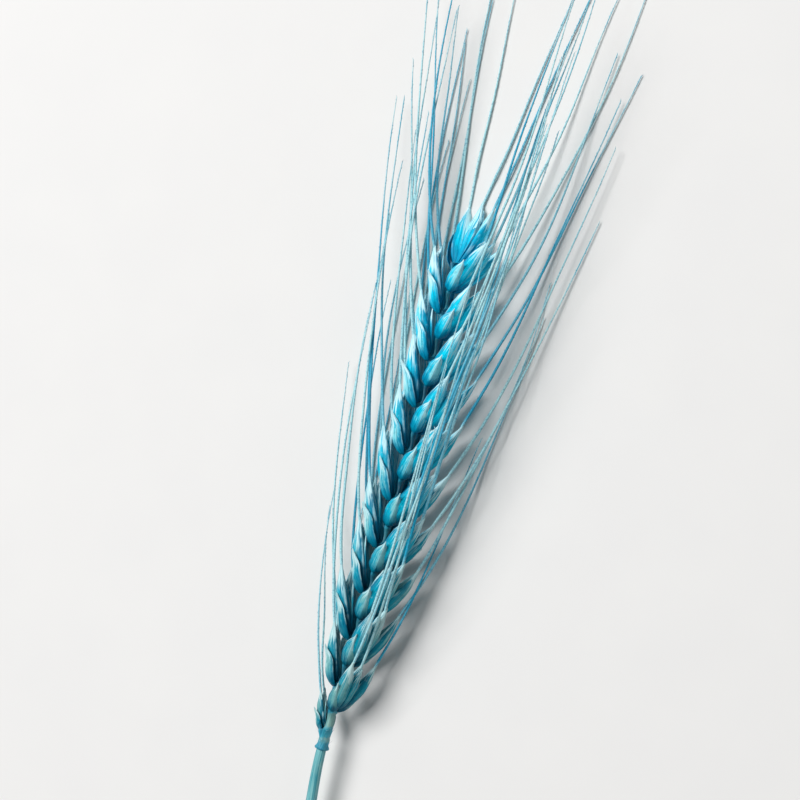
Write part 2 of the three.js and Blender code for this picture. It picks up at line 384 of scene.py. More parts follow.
# The skin runs down the outside, in over the cut, and up the bore
on_path = tube.outline(along, [(0, 0), (0.87, 1), (0.9, 1), (0.985, 0.86), (1, 0.86)], False)
skin_shares = [(0, 0), (0.006, 1), (0.87, 1), (0.88, 0.96), (0.9, 0.62), (0.98, 0.56), (1, 0)]
thick = tube.outline(along, skin_shares, False)
line = tube.add("GeometryNodeSampleCurve", {"data_type": "FLOAT"})
tube.feed(line.inputs["Curves"], tube.add("GeometryNodeMeshToCurve", Mesh=tube.seeds).outputs[0])
tube.feed(line.inputs["Factor"], on_path)
turn = around * (2 * math.pi)
swell = tube.size("Top") + (tube.size("Cut") - tube.size("Top")) * (on_path ** 0.6)
ribbed = tube.work("COSINE", turn * tube.size("Ribs")) * tube.size("Rib") + 1
unround = tube.mottle(tube.place_in(on_path * 14, 0.0, 2.0)) * 0.07 + 0.955
across = tube.out(line, "Normal")
sideways = tube.work("CROSS_PRODUCT", tube.out(line, "Tangent"), across)
spoke = across * tube.work("COSINE", turn) + sideways * tube.work("SINE", turn)
skin = tube.sheet(tube.size("Around"), tube.size("Along"))
skin_place = tube.out(line, "Position") + spoke * (swell * thick * ribbed * unround)
tube.end(tube.shape(skin, skin_place), straw_finish)
tube.grow(straw_stem)
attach(straw_stem, "root")
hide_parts("straw")


# The stalk inside the ear, with the swollen collar at its foot: a flattened zigzag stem of dry
# straw that widens up to a shelf under each spikelet. The dye has pooled at the collar and the
# shelves, whose edges carry short hairs, and left the lengths between them paler.
SPIKELETS = 20
FIRST_NODE = 2.6  # from the collar to the lowest shelf
NODE_PITCH = 4.4
BELOW_SHELF = 0.4  # share of a pitch that counts as below the next shelf
STALK_SIDES = 24
STALK_TAPER = 0.3  # share that it is slimmer at the tip
STALK_FOOT = 0.4  # share that it is stouter at the lowest shelf
COLLAR_RAGGED = 2.2  # times as uneven as the stalk
EAR_ROLL = 26  # degrees that the right row is turned up
EAR_TWIST = -13  # what the ear adds to that by its tip


def across_ear(y):
    """Out along the rows to the right, and out of the ear's face, at a height in the ear."""
    share = min(max(y / EAR_TOP, 0), 1)
    roll = math.radians(EAR_ROLL + EAR_TWIST * share)
    rows = Vector((math.cos(roll), 0, math.sin(roll)))
    face = Vector((-math.sin(roll), 0, math.cos(roll)))
    return rows, face


# Rings up the stalk: height, offset along the rows, half width and half thickness
stalk_rings = [
    (-0.85, 0, 0.6, 0.6),
    (-0.92, 0, 0.98, 0.98),
    (-0.8, 0, 1.18, 1.18),
    (-0.6, 0, 1.3, 1.3),
    (-0.35, 0, 1.24, 1.22),
    (-0.05, 0, 1.1, 1.06),
    (0.3, 0, 1.08, 0.98),
    (0.7, 0, 1.1, 0.92),
    (1.1, 0, 1.14, 0.86),
]
SHELF_RINGS = (
    (-1.2, 0.05, 0.82, 0.48),
    (-0.5, 0.2, 1.02, 0.56),
    (0, 0.3, 1.16, 0.62),
    (0.2, 0.22, 1.1, 0.6),
    (0.4, -0.2, 0.78, 0.5),
    (0.9, -0.38, 0.62, 0.42),
    (2.0, -0.3, 0.62, 0.4),
)
for number in range(SPIKELETS + 1):
    side = -1 if number % 2 == 0 else 1
    node = FIRST_NODE + number * NODE_PITCH
    slender = 1 - STALK_TAPER * number / SPIKELETS + STALK_FOOT * math.exp(-number)
    for step, out, wide, deep in SHELF_RINGS:
        if number < SPIKELETS or step < 0.5:
            stalk_rings.append((node + step, side * out, wide * slender, deep * slender))
stalk_points = []
stalk_heights = []
for height, offset, wide, deep in stalk_rings:
    rows, face = across_ear(height)
    centre = culm_at(max(height, 0))
    centre.y = height
    ragged = COLLAR_RAGGED if height < 0 else 1
    for k in range(STALK_SIDES):
        turn = 2 * math.pi * k / STALK_SIDES
        waves = 0.04 * math.sin(3 * turn + height) + 0.03 * math.sin(7 * turn - 2 * height)
        lump = 1 + ragged * waves
        aside = rows * (deep * lump * math.sin(turn) + offset)
        flat = face * (wide * lump * math.cos(turn)) + aside
        stalk_points.append((centre + flat + ear_foot) * MM)
        stalk_heights.append(height)
last_ring = len(stalk_points) - STALK_SIDES
stalk_faces = [list(range(STALK_SIDES)), list(range(last_ring, len(stalk_points)))]
for ring in range(0, last_ring, STALK_SIDES):
    for k in range(STALK_SIDES):
        right = (k + 1) % STALK_SIDES
        above = ring + STALK_SIDES
        stalk_faces.append([ring + k, ring + right, above + right, above + k])
stalk_mesh = bpy.data.meshes.new("stalk")
stalk_mesh.from_pydata(stalk_points, [], stalk_faces)
stalk_mesh.shade_smooth()
heights = stalk_mesh.attributes.new("height", "FLOAT", "POINT")
heights.data.foreach_set("value", stalk_heights)
shell = bmesh.new()
shell.from_mesh(stalk_mesh)
bmesh.ops.recalc_face_normals(shell, faces=shell.faces)
shell.to_mesh(stalk_mesh)
shell.free()
stalk = bpy.data.objects.new("stalk", stalk_mesh)
bpy.context.scene.collection.objects.link(stalk)



def past_nearest_shelf(bench, height):
    """How far past the nearest shelf, in shares of the way from one shelf to the next."""
    shelves = (height - FIRST_NODE) * (1 / NODE_PITCH)
    return bench.work("FRACT", shelves + BELOW_SHELF) - BELOW_SHELF


stalk_finish, bench, surface, place = new_finish("dyed stalk")
height = look_up(bench, "height")
sideways = bench.out(bench.add("ShaderNodeSeparateXYZ", Vector=place), "X")
depth, fibre = run_of_dye(bench, sideways * 400, height * 0.08, 0.7, 3.0)
blot = bench.mottle(place, 4, 900.0) - 0.5
past_shelf = past_nearest_shelf(bench, height)
at_shelf = bench.rise(abs(past_shelf + 0.04) + blot * 0.6, 0.3, 0.12)
at_collar = bench.rise(height + blot * 3 + depth * 0.8, 2.8, 0.6)
bare = bench.rise(height + depth * 2 + blot * 6, 14.0, 4.0)
stretch = shade_between(bench, depth, dye(4, 78, 104), dye(40, 124, 138))
bare_straw = shade_between(bench, depth, dye(84, 148, 150), dye(138, 180, 170))
stretch = shade_between(bench, bare * 0.9, stretch, bare_straw)
pooled = shade_between(bench, depth, dye(10, 112, 144), dye(44, 158, 180))
wet = bench.work("MAXIMUM", at_shelf, at_collar)
dress(bench, surface, shade_between(bench, wet, stretch, pooled), depth * 0.15 + 0.45, fibre, 0.15)
stalk_mesh.materials.append(stalk_finish)
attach(stalk, "root")
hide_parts("ear")

HAIR_STRAYING = 0.4  # of a hair's direction, each way
hair_finish, bench, surface, place = new_finish("dyed hair")
tuft = bench.mottle(place, 2, 500.0)
tuft = bench.rise(tuft, 0.4, 0.6)
hair_colour = shade_between(bench, tuft, dye(10, 130, 176), dye(170, 216, 222))
bench.feed(surface.inputs["Base Color"], hair_colour)
surface.inputs["Roughness"].default_value = 0.5

stalk_hairs = bpy.data.objects.new("stalk_hairs", stalk_mesh.copy())
bpy.context.scene.collection.objects.link(stalk_hairs)
fringe = Growth(
    "shelf hairs",
    Per_area=3.4e6,
    Longest=1.2 * MM,
    Shortest=0.35,
    Thickness=0.028,
    Lean=1.1,
    Scatter=3,
)
height = fringe.read("height")
near_shelf = fringe.rise(abs(past_nearest_shelf(fringe, height)), 0.17, 0.06)
near_collar = fringe.rise(height, 1.0, 0.4) * fringe.rise(height, -0.4, 0.1)
near = fringe.work("MAXIMUM", near_shelf, near_collar)
roots = fringe.add(
    "GeometryNodeDistributePointsOnFaces",
    {"distribute_method": "RANDOM"},
    Mesh=fringe.seeds,
    Density=near * fringe.size("Per_area"),
    Seed=fringe.size("Scatter"),
)
draw = fringe.add("FunctionNodeRandomValue", {"data_type": "FLOAT"}, Seed=fringe.size("Scatter"))
fringe.feed(draw.inputs[2], fringe.size("Shortest"))
draw.inputs[3].default_value = 1
long = fringe.out(draw, 1) * fringe.size("Longest")
leaning = fringe.out(roots, "Normal") + fringe.place_in(0.0, fringe.size("Lean"), 0.0)
stray = fringe.add("FunctionNodeRandomValue", {"data_type": "FLOAT_VECTOR"}, Seed=8)
stray.inputs[0].default_value = [-HAIR_STRAYING] * 3
stray.inputs[1].default_value = [HAIR_STRAYING] * 3
leaning = leaning + fringe.out(stray)
aligned = fringe.add("FunctionNodeAlignRotationToVector", {"axis": "Z"}, Vector=leaning)
blade = fringe.add(
    "GeometryNodeMeshCone",
    {"fill_type": "NONE"},
    Vertices=3,
    Radius_Bottom=fringe.size("Thickness"),
    Depth=1.0,
)
hairs = fringe.add(
    "GeometryNodeInstanceOnPoints",
    Points=roots.outputs[0],
    Instance=blade.outputs[0],
    Rotation=aligned.outputs[0],
)
fringe.feed(hairs.inputs["Scale"], fringe.place_in(long, long, long))
fringe.end(hairs.outputs[0], hair_finish)
fringe.grow(stalk_hairs)
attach(stalk_hairs, "root")
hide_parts("ear")


# The scales of the ear, as dry as paper. Each spikelet sits on its shelf with two short glumes
# outside, which are keeled like a boat and end in a beak, and its florets inside them: a long
# lemma wrapped round, with a thin palea at its back. All grew where they sit.
SCALE_STRAYING = 3  # degrees either way
LENGTH_STRAYING = 0.05  # share either way
RIGHT_SPLAY = 10  # degrees that the right row leans out further
LEFT_GATHER = 0.75  # share of its lean and spread that the left row keeps
TIP_GATHER = 0.7  # and that the spikelet at the tip keeps
TIP_SIZE = 0.95
TIP_AWN_SIZE = 0.8
FOOT_SMALLER = 0.42  # share that the lowest spikelet is smaller
FOOT_REACH = 1.3  # spikelets further up, where two thirds of that are gone
TOP_SMALLER = 0.12
TOP_REACH = 2.6
LEFT_WORN_AND_LIT = 0.8  # how far the left row is paled: by bleaching, and by painted light from the lamp on the left
RIGHT_WORN_AND_LIT = 0.2
WORN_AND_LIT_STRAYING = 0.2
# One spikelet: offsets and sizes in mm, its scales' leans and turns in degrees
SCALE_READINGS = "kind face out across up lean spread length wide thick turn bulge awn".split()
SCALES = (
    ("glume", 1, 0.5, 0.6, -0.7, 18, 24, 9, 1.6, 1.4, 40, 0.4, 0),
    ("glume", -1, 0.5, 0.6, -0.7, 18, 24, 9, 1.6, 1.4, 40, 0.4, 0),
    ("lemma", 1, 0.8, 0.25, -0.3, 21, 16, 13.5, 1.7, 1.6, 47, 0.3, 66),
    ("lemma", -1, 0.8, 0.25, -0.2, 22, 15, 13.7, 1.8, 1.7, 45, 0.5, 64),
    ("lemma", 1, 0.7, 0, -0.3, 22, 1, 13.6, 1.8, 1.7, 75, 0.6, 54),
    ("palea", 1, 0.5, 0.2, 0.6, 18, 10, 10.4, 1.05, 0.5, 50, 0.15, 0),
    ("sterile", 1, 1.1, 0.1, 2.2, 29, 8, 10.2, 1.2, 1.1, 60, 0.5, 0),
)


def scatter(seed):
    """A fixed scatter between -1 and 1."""
    wave = math.sin(seed * 12.9898 + 4.1414) * 43758.5453
    return 2 * (wave - math.floor(wave)) - 1


def course_of(outward, faceward, lean, spread):
    """A direction up the ear that leans outwards and spreads towards a face, in degrees."""
    aside = outward * math.tan(math.radians(lean)) + faceward * math.tan(math.radians(spread))
    return (Vector((0, 1, 0)) + aside).normalized()


def spikelet_size(number):
    """Spikelets are smaller at the foot of the ear and towards its tip."""
    from_tip = SPIKELETS - 1 - number
    smaller_at_foot = FOOT_SMALLER * math.exp(-number / FOOT_REACH)
    return 1 - smaller_at_foot - TOP_SMALLER * math.exp(-from_tip / TOP_REACH)


INNER_SEEDS = 200  # keeps the draws of the palea and the sterile floret apart
placed_scales = []
for number in range(SPIKELETS + 1):
    at_tip = number == SPIKELETS
    side = -1 if number % 2 == 0 else 1
    seat_height = FIRST_NODE + number * NODE_PITCH
    rows, face = across_ear(seat_height)
    outward = -face if at_tip else rows * side
    faceward = rows if at_tip else face
    size = TIP_SIZE if at_tip else spikelet_size(number)
    awn_size = TIP_AWN_SIZE if at_tip else size
    splay = RIGHT_SPLAY * min(1, 3 * number / SPIKELETS) if side > 0 and not at_tip else 0
    row_gather = LEFT_GATHER if side < 0 else 1
    gather = TIP_GATHER if at_tip else row_gather
    # How pale a row is made: bleaching plus painted light, most on the left row, which faces the
    # lamp
    row_worn_and_lit = LEFT_WORN_AND_LIT if side < 0 else RIGHT_WORN_AND_LIT
    seat = culm_at(seat_height)
    for order, row in enumerate(SCALES):
        scale = dict(zip(SCALE_READINGS, row))
        inner = scale["kind"] in ("palea", "sterile")
        seed = number * 5 + order + 1 + (INNER_SEEDS if inner else 0)
        own_face = faceward * scale["face"]
        root = seat + outward * (scale["out"] * size) + own_face * (scale["across"] * size)
        root.y += scale["up"] * size
        course = course_of(
            outward,
            own_face,
            scale["lean"] * gather + splay + SCALE_STRAYING * scatter(seed),
            scale["spread"] * gather + SCALE_STRAYING * scatter(seed + 0.3),
        )
        turn = math.radians(scale["turn"])
        back = own_face * math.cos(turn) + outward * math.sin(turn)
        scale.update(
            seed=float(seed),
            awn_size=awn_size,
            lot=scatter(seed + 0.77),
            inward=-1.0 if course.cross(back).dot(outward) > 0 else 1.0,
            worn=row_worn_and_lit + WORN_AND_LIT_STRAYING * scatter(seed + 0.91),
            outward=outward,
            own_face=own_face,
            root=root,
            course=course,
            back=(back - course * back.dot(course)).normalized(),
            length=scale["length"] * size * (1 + LENGTH_STRAYING * scatter(seed + 0.6)),
            wide=scale["wide"] * size,
            thick=scale["thick"] * size,
            bulge=scale["bulge"] * size,
        )
        placed_scales.append(scale)

# Chaff is bare and pale on its belly and on the half that faces out, partly as painted light.
# The dye sits deep at its foot, along its edges, on its nerves and on the half that faces the
# stalk, and all but the nerves carry painted shade there too. Keels carry a painted highlight
# and tips bleach with a painted highlight on them, the left row most, as painted light from the
# left, and every colour is painted brighter towards the ear's tip.
bench, taken, outlet = new_effect(
    "chaff dye",
    ("Place", "Edge", "Along", "Seed", "Lot", "Inward", "Worn", "Bare", "Nerves", "Keel"),
    ("Colour", "Relief", "Gloss"),
)
place, edge, along, seed, lot, inward, worn, bare, nerves, keel = taken
depth, fibre = run_of_dye(bench, edge, along, seed * 0.37, 5.0)
cloud = bench.mottle(place, 3, 260.0)
grit = bench.mottle(place, 2, 1500.0)
along_ear = bench.out(bench.add("ShaderNodeSeparateXYZ", Vector=place), "Y")
# Painted light: the colours below are made brighter up the ear, towards its tip
share_up = bench.rise(along_ear, -50 * MM, 40 * MM)
far = abs(edge)
# The half that faces the stalk: deeper dye there, with painted shade
inner_half_dye_and_shade = bench.rise(edge * inward + (cloud - 0.5) * 0.8, -0.3, 0.7)
margin = bench.rise(far + (depth - 0.5) * 0.12, 0.7, 0.92)
hem = bench.rise(far, 0.93, 0.99) * bench.rise(along, 0.15, 0.4) * bench.rise(depth, 0.3, 0.9)
# The foot of each scale: pooled dye, with painted shade where it meets the next
foot_dye_and_shade = bench.rise(along + (cloud - 0.5) * 0.3, 0.5, 0.14)
# Pale tips: bleaching, with a painted highlight that is strongest on the left row
tip = bench.rise(along + (depth - 0.5) * 0.3 + worn * (0.34 - inner_half_dye_and_shade * 0.2), 0.74, 0.95)
# Painted highlight along the upper keel, strongest on the left row
keel_highlight = bench.rise(far - along * (worn * 0.2 + 0.06) + (depth - 0.5) * 0.12, 0.1, -0.02)
keel_highlight = keel_highlight * bench.rise(along, 0.25, 0.6) * keel * (worn * 0.7 + 0.3)
# Bare of dye, and made paler on the left row and the outer half as painted light
bareness_and_light = cloud * 0.7 + (depth - 0.5) * 0.3 + lot * 0.12 + along * 0.4 - inner_half_dye_and_shade * 0.2
bareness_and_light = bareness_and_light + bare + worn * 0.16 - share_up * 0.12
bald = (1 - margin * 0.9) * (1 - foot_dye_and_shade) * bench.rise(bareness_and_light, 0.44, 0.62)
# Dye pooled deep, with painted shade at the foot, along the edges and on the half facing the stalk
soaked_and_shaded = cloud * 0.8 + foot_dye_and_shade * 0.55 + margin * 0.32 + inner_half_dye_and_shade * 0.12 - lot * 0.16 - 0.12
# Each of these colours is painted brighter towards the ear's tip
fresh = shade_between(bench, share_up, dye(0, 130, 152), dye(0, 206, 240))
deep = shade_between(bench, share_up, dye(0, 80, 106), dye(0, 130, 172))
stain_and_shade = shade_between(bench, bench.rise(soaked_and_shaded, 0.3, 0.85), fresh, deep)
light_streak = shade_between(bench, share_up, dye(4, 158, 182), dye(0, 216, 248))
stain_and_shade = shade_between(bench, depth * (1 - margin * 0.6) * (1 - foot_dye_and_shade * 0.6), stain_and_shade, light_streak)
bare_chaff = shade_between(bench, share_up, dye(110, 170, 168), dye(156, 236, 246))
chaff = shade_between(bench, bald * 0.9, stain_and_shade, bare_chaff)
ribs = bench.work("COSINE", edge * nerves * math.pi)
nerve = bench.rise(ribs, 0.84, 1.0) * (1 - hem)
chaff = shade_between(bench, nerve * 0.4, chaff, dye(0, 104, 134))
chaff = shade_between(bench, bench.rise(grit, 0.46, 0.3) * 0.25, chaff, dye(0, 98, 128))
# Pale: bleached tips, pale hems and pale flecks, with painted highlight on keels and the left row
pale = bench.work("MAXIMUM", tip * bench.rise(depth, -0.3, 0.5) * 0.92, hem * 0.6)
pale = bench.work("MAXIMUM", pale, keel_highlight * 0.85)
# The outer keel side paled: partly bleaching, partly painted light from the lamp on the left
wear_and_light = worn * keel * 0.8 + along * 0.5 + (depth - 0.5) * 0.6 - inner_half_dye_and_shade * 0.6
pale_wear_and_light = bench.rise(wear_and_light, 0.56, 0.86) * bench.rise(along + (cloud - 0.5) * 0.3, 0.24, 0.6)
pale = bench.work("MAXIMUM", pale, pale_wear_and_light * 0.95)
pale = bench.work("MAXIMUM", pale, bench.rise(grit, 0.6, 0.76) * 0.15 * (1 - foot_dye_and_shade))
bleach_and_highlight = shade_between(bench, share_up, dye(188, 222, 224), dye(210, 246, 251))
bench.feed(outlet.inputs["Colour"], shade_between(bench, pale, chaff, bleach_and_highlight))
bench.feed(outlet.inputs["Relief"], fibre * 0.7 + nerve * 0.5 + grit * 0.2)
bench.feed(outlet.inputs["Gloss"], depth * 0.16 + bald * 0.08 + 0.34)
chaff_dye = bench.tree


def chaff_finish(name, bare, nerves, keel):
    """Dyed chaff: how bare it is of dye, its number of nerves and how keeled its back is, which
    sets the painted highlight on its keel.
    """
    finish, bench, surface, place = new_finish(name)
    dyed = bench.add(
        "ShaderNodeGroup",
        {"node_tree": chaff_dye},
        Place=place,
        Bare=bare,
        Nerves=nerves,
        Keel=keel,
    )
    surface.inputs["Specular IOR Level"].default_value = 0.1
    for reading in ("edge", "along", "seed", "lot", "inward", "worn"):
        bench.feed(dyed.inputs[reading.capitalize()], look_up(bench, reading))
    colour, relief, gloss = (bench.out(dyed, part) for part in ("Colour", "Relief", "Gloss"))
    dress(bench, surface, colour, gloss, relief, 0.1)
    return finish


def grow_scales(kind, name, columns, rings, sides, tops, finish, **form):
    """One scale of a kind on each seat, with drawn curves for its half width and its height."""
    tree = Growth(name, Around=columns, Along=rings, **form)
    sheet = tree.sheet(tree.size("Around"), tree.size("Along"))
    grown = tree.add("GeometryNodeInstanceOnPoints", Points=tree.seeds, Instance=sheet)
    sheets = tree.add("GeometryNodeRealizeInstances", Geometry=grown.outputs[0]).outputs[0]
    along = tree.read("along")
    # Round the scale: from the middle of the inside to one edge, over the keel to the other edge
    around = tree.read("round")
    edge = abs(tree.work("FRACT", around + 0.25) - 0.5) * 4 - 1
    edge = tree.work("SINE", edge * (math.pi / 2))
    far = abs(edge)
    outside = tree.rise(0.25 - abs(around - 0.5), -0.012, 0.012)
    keel = tree.size("Keel")
    hollow = tree.size("Hollow")
    ridge = 1 - keel * far - (tree.size("Drop") - keel) * far ** 3.5
    closed = tree.size("Belly") * (1 - far * far) + 0.3
    inside = ridge * hollow - (1 - hollow) * closed - tree.size("Wall")
    rise = inside + (ridge - inside) * outside
    reach = edge * (1 - (1 - outside) * tree.size("Wall"))
    seed = tree.read("seed")
    dent = tree.mottle(tree.place_in(edge * 1.6, along * 4, seed * 7.3), 2) - 0.5
    frill = tree.mottle(tree.place_in(seed * 3.1, along * 6, edge * 0.5), 1) - 0.5
    thick = tree.read("thick") * tree.outline(along, tops)
    wide = tree.read("wide") * tree.outline(along, sides)
    course = tree.read("course", "FLOAT_VECTOR")
    back = tree.read("back", "FLOAT_VECTOR")
    beside = tree.work("CROSS_PRODUCT", course, back)
    turn = (along - 0.3) * tree.size("Twist") * tree.read("lot")
    raised = back * tree.work("COSINE", turn) + beside * tree.work("SINE", turn)
    aside = beside * tree.work("COSINE", turn) - back * tree.work("SINE", turn)
    line = tree.read("root", "FLOAT_VECTOR") + course * (tree.read("length") * along)
    line = line + back * (tree.read("bulge") * 4 * along * (1 - along))
    # A beak bends outwards over the last third of its scale
    beak = tree.read("wide") * tree.size("Beak") * tree.rise(along, 0.62, 1.08)
    line = line + back * beak
    place = line + raised * (thick * (rise + dent * tree.size("Dents") * outside))
    place = place + aside * (wide * reach * (1 + frill * tree.size("Frill")))
    shells = tree.note(tree.shape(sheets, place), "edge", edge)
    tree.end(shells, finish)

    chosen = [s for s in placed_scales if s["kind"] == kind]
    readings = {r: [s[r] * MM for s in chosen] for r in ("length", "wide", "thick", "bulge")}
    not_lengths = ("course", "back", "seed", "lot", "inward", "worn")
    readings.update({r: [s[r] for s in chosen] for r in not_lengths})
    readings["root"] = [(s["root"] + ear_foot) * MM for s in chosen]
    piece = set_out(name, [s["root"] for s in chosen], **readings)
    tree.grow(piece)
    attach(piece, "root")
    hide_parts("ear")


GLUME_SIDES = (
    (0, 0), (0.015, 0.3), (0.08, 0.64), (0.2, 0.92), (0.36, 1), (0.54, 0.95),
    (0.68, 0.74), (0.77, 0.48), (0.85, 0.23), (0.91, 0.12), (0.985, 0.05), (1, 0),
)
GLUME_TOPS = (
    (0, 0), (0.015, 0.3), (0.08, 0.6), (0.2, 0.9), (0.36, 1), (0.55, 0.9),
    (0.72, 0.7), (0.84, 0.46), (0.92, 0.26), (0.985, 0.12), (1, 0),
)
LEMMA_SIDES = (
    (0, 0), (0.015, 0.2), (0.08, 0.5), (0.2, 0.84), (0.36, 1), (0.54, 0.95),
    (0.72, 0.72), (0.85, 0.42), (0.93, 0.2), (0.985, 0.14), (1, 0),
)
LEMMA_TOPS = (
    (0, 0), (0.015, 0.24), (0.08, 0.52), (0.2, 0.84), (0.36, 1), (0.54, 0.93),
    (0.72, 0.68), (0.85, 0.4), (0.93, 0.24), (0.985, 0.16), (1, 0),
)
glume_form = dict(
    Keel=0.5, Drop=1.08, Hollow=1.0, Wall=0.1,
    Belly=0.0, Twist=0.3, Dents=0.26, Frill=0.24, Beak=0.9,
)
lemma_form = dict(
    Keel=0.16, Drop=1.2, Hollow=0.0, Wall=0.08,
    Belly=0.25, Twist=0.3, Dents=0.3, Frill=0.34, Beak=0.0,
)
palea_form = dict(
    Keel=0.1, Drop=1.3, Hollow=1.0, Wall=0.14,
    Belly=0.0, Twist=0.6, Dents=0.3, Frill=0.25, Beak=0.0,
)
lemma_finish = chaff_finish("dyed lemma", -0.04, 5.0, 0.35)
palea_finish = chaff_finish("dyed palea", 0.1, 2.0, 0.0)
glume_finish = chaff_finish("dyed glume", 0.16, 3.0, 1.0)
grow_scales("glume", "glumes", 29, 34, GLUME_SIDES, GLUME_TOPS, glume_finish, **glume_form)
grow_scales("lemma", "lemmas", 29, 34, LEMMA_SIDES, LEMMA_TOPS, lemma_finish, **lemma_form)
grow_scales("palea", "paleas", 17, 20, LEMMA_SIDES, LEMMA_TOPS, palea_finish, **palea_form)
grow_scales(
    "sterile", "sterile_florets", 21, 22, LEMMA_SIDES, LEMMA_TOPS, lemma_finish, **lemma_form
)


# The awns, one long bristle that grew out of each lemma's tip. They are stiff hairs of dry
# straw, rough with tiny barbs, bleach towards their ends and sag a little, and those underneath
# lie along the table.
AWN_ROOT_RADIUS = 0.3
AWN_TIP_RADIUS = 0.09
AWN_SUNK = 1.2  # of its root inside the lemma's tip
AWN_LEAVING = (17, 11)  # outwards and towards its own face, in degrees
AWN_ENDING = (5, 5)
AWN_STRAYING = 5  # degrees either way
AWN_LENGTH_STRAYING = 0.1  # share either way
AWN_SAG = 2.6
TABLE_CLEAR = 0.3
TABLE_SOFTNESS = 1.2
AWN_STEPS = 30
AWN_BEND = 0.35  # share of its length at which the one direction gives way to the other
AWN_WAVE = 0.55  # how far it swerves at most
AWN_WAVE_COUNTS = (7, 9)  # radians of wave outwards and towards its own face
AWN_WAVE_STRAYING = 3  # radians either way
AWN_WAIST = 0.35  # share that an awn is thinner right above its lemma
AWN_WAIST_FADE = 40  # two thirds of that are gone by a fortieth of its length


def over_table(point, share):
    """An awn's point after its sag, lifted to lie along the table if it would pass through."""
    point.z -= AWN_SAG * share ** 2
    above = point.z - TABLE_CLEAR
    lifted = TABLE_CLEAR + (above + math.hypot(above, TABLE_SOFTNESS)) / 2
    point.z += (lifted - point.z) * min(1, share * 5)
    return point


def scale_point(scale, share):
    """A point on the middle line of a scale."""
    middle = scale["root"] + scale["course"] * (scale["length"] * share)
    return middle + scale["back"] * (scale["bulge"] * 4 * share * (1 - share))


outward_wave, faceward_wave = AWN_WAVE_COUNTS
awn_points = []
awn_edges = []
awn_girths = []
awn_seeds = []
for scale in placed_scales:
    if not scale["awn"]:
        continue
    seed = scale["seed"] + 0.9
    length_drawn = 1 + AWN_LENGTH_STRAYING * scatter(scale["seed"] + 0.8)
    length = scale["awn"] * scale["awn_size"] * length_drawn
    start = scale_point(scale, 1 - AWN_SUNK / scale["length"])
    leaving, ending = (
        course_of(
            scale["outward"],
            scale["own_face"],
            lean + AWN_STRAYING * scatter(seed + 0.1 * step),
            spread + AWN_STRAYING * scatter(seed + 0.1 * step + 0.5),
        )
        for step, (lean, spread) in enumerate((AWN_LEAVING, AWN_ENDING))
    )
    bend = start + leaving * (AWN_BEND * length)
    tip = bend + ending * ((1 - AWN_BEND) * length)
    for step in range(AWN_STEPS + 1):
        share = step / AWN_STEPS
        point = start * (1 - share) ** 2 + bend * (2 * share * (1 - share)) + tip * share ** 2
        swerve = outward_wave * share + AWN_WAVE_STRAYING * scatter(seed + 0.35)
        swerve = AWN_WAVE * share * math.sin(swerve)
        waver = faceward_wave * share + AWN_WAVE_STRAYING * scatter(seed + 0.55)
        waver = AWN_WAVE * share * math.sin(waver)
        point += scale["outward"] * swerve + scale["own_face"] * (waver * (1 - share))
        if step:
            awn_edges.append((len(awn_points) - 1, len(awn_points)))
        girth = AWN_ROOT_RADIUS + (AWN_TIP_RADIUS - AWN_ROOT_RADIUS) * share ** 1.2
        waist = 1 - AWN_WAIST * math.exp(-AWN_WAIST_FADE * share)
        girth *= (0.5 + 0.5 * scale["awn_size"]) * waist
        point = over_table(point, share)
        point.z = max(point.z, girth)
        awn_points.append(point)
        awn_girths.append(girth * MM)
        awn_seeds.append(seed)

awn_finish, bench, surface, place = new_finish("dyed awn")
along = look_up(bench, "along")
seed = look_up(bench, "seed")
depth, fibre = run_of_dye(bench, seed, along * 3, 0.5, 5.0)
own = bench.rise(bench.work("FRACT", seed * 0.618), 0.1, 0.6)
root_shade = shade_between(bench, own * 0.8 + depth * 0.2, dye(30, 160, 194), dye(174, 220, 224))
end_shade = shade_between(bench, depth, dye(104, 186, 206), dye(198, 228, 230))
awn_colour = shade_between(bench, bench.rise(along, 0.5, 1.0), root_shade, end_shade)
pale_foot = bench.rise(along, 0.05, 0.0) * 0.8
awn_colour = shade_between(bench, pale_foot, awn_colour, dye(176, 226, 232))
flecks = bench.mottle(place, 2, 2600.0)
dark_flecks = bench.rise(flecks, 0.5, 0.34) * 0.4
awn_colour = shade_between(bench, dark_flecks, awn_colour, dye(0, 106, 146))
dress(bench, surface, awn_colour, depth * 0.1 + 0.42, flecks, 0.05)
surface.inputs["Specular IOR Level"].default_value = 0.2

awns = set_out("awns", awn_points, awn_edges, girth=awn_girths, seed=awn_seeds)
bristle = Growth(
    "awn",
    Sides=6,
    Barb_spacing=0.7 * MM,
    Barb_length=0.42 * MM,
    Barb_sunk=1.4,
    Barb_girth=0.16,
    Barb_tilt=0.5,
    Scatter=7,
)
strand = bristle.add("GeometryNodeMeshToCurve", Mesh=bristle.seeds).outputs[0]
progress = bristle.out(bristle.add("GeometryNodeSplineParameter"), "Factor")
strand = bristle.note(strand, "along", progress)
girth = bristle.read("girth")
section = bristle.add("GeometryNodeCurvePrimitiveCircle", Radius=1.0)
bristle.feed(section.inputs["Resolution"], bristle.size("Sides"))
shafts = bristle.add(
    "GeometryNodeCurveToMesh",
    Curve=strand,
    Profile_Curve=section.outputs[0],
    Scale=girth,
    Fill_Caps=True,
)
spots = bristle.add(
    "GeometryNodeCurveToPoints",
    {"mode": "LENGTH"},
    Curve=strand,
    Length=bristle.size("Barb_spacing"),
)
spin = bristle.add("FunctionNodeRandomValue", {"data_type": "FLOAT"})
bristle.feed(spin.inputs["Seed"], bristle.size("Scatter"))
spin.inputs[3].default_value = 2 * math.pi
about = bristle.add("FunctionNodeAxisAngleToRotation", Axis=(0, 0, 1), Angle=spin.outputs[1])
